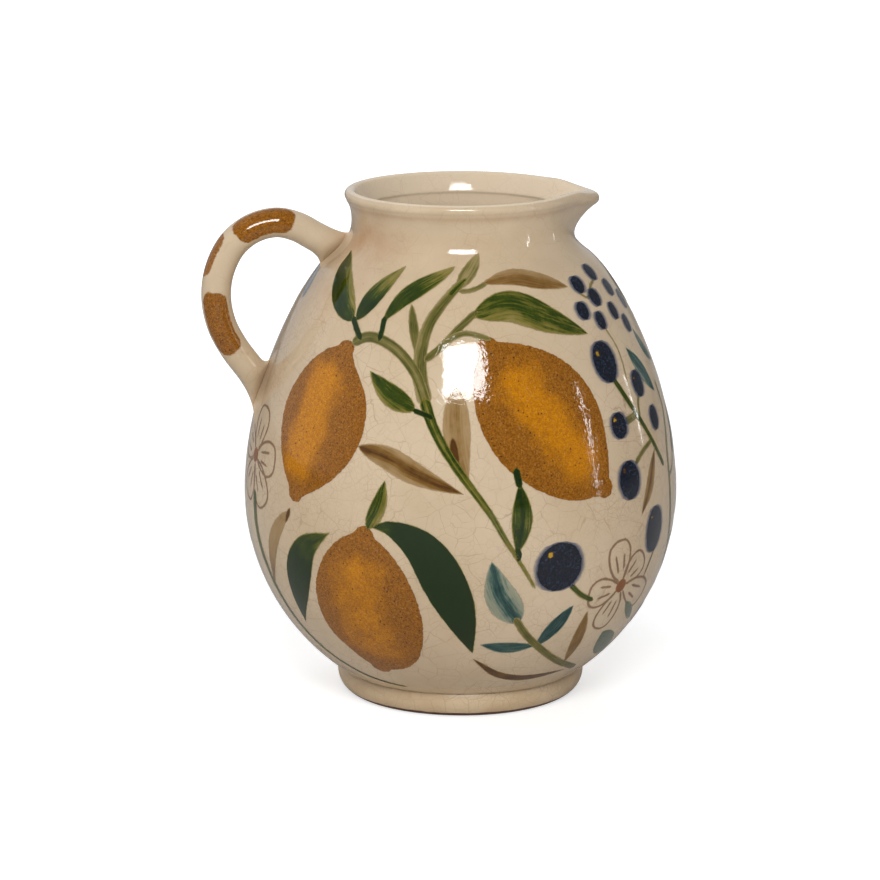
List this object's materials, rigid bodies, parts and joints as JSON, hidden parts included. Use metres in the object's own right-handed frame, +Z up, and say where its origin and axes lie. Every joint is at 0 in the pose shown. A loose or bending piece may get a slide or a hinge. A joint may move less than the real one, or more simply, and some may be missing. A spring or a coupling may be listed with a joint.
{
  "type": "ceramic pitcher",
  "caption": "Round-bodied glazed stoneware pitcher with a short neck, rolled rim, pinched pouring spout, looped handle and turned foot ring, hand-painted with fruit and leaves.",
  "frame": {"origin": "on the resting plane, under the middle of the whole pitcher's bounding box; the pot's own axis stands 9.85 mm towards +X", "axes": "+Z up, +X towards the spout, -X towards the handle, which lie together in the XZ plane"},
  "size_m": [0.224, 0.2044, 0.2398],
  "materials": {
    "cream_glaze": "glossy crackled cream glaze",
    "foot_glaze": "thin warm glaze over bare clay at the resting edge"
  },
  "bodies": {
    "root": {"body": "cream_glaze", "neck_and_spout": "cream_glaze", "foot_ring": "foot_glaze", "handle_loop": "cream_glaze", "upper_handle_root": "cream_glaze", "lower_handle_root": "cream_glaze"}
  },
  "joints": []
}
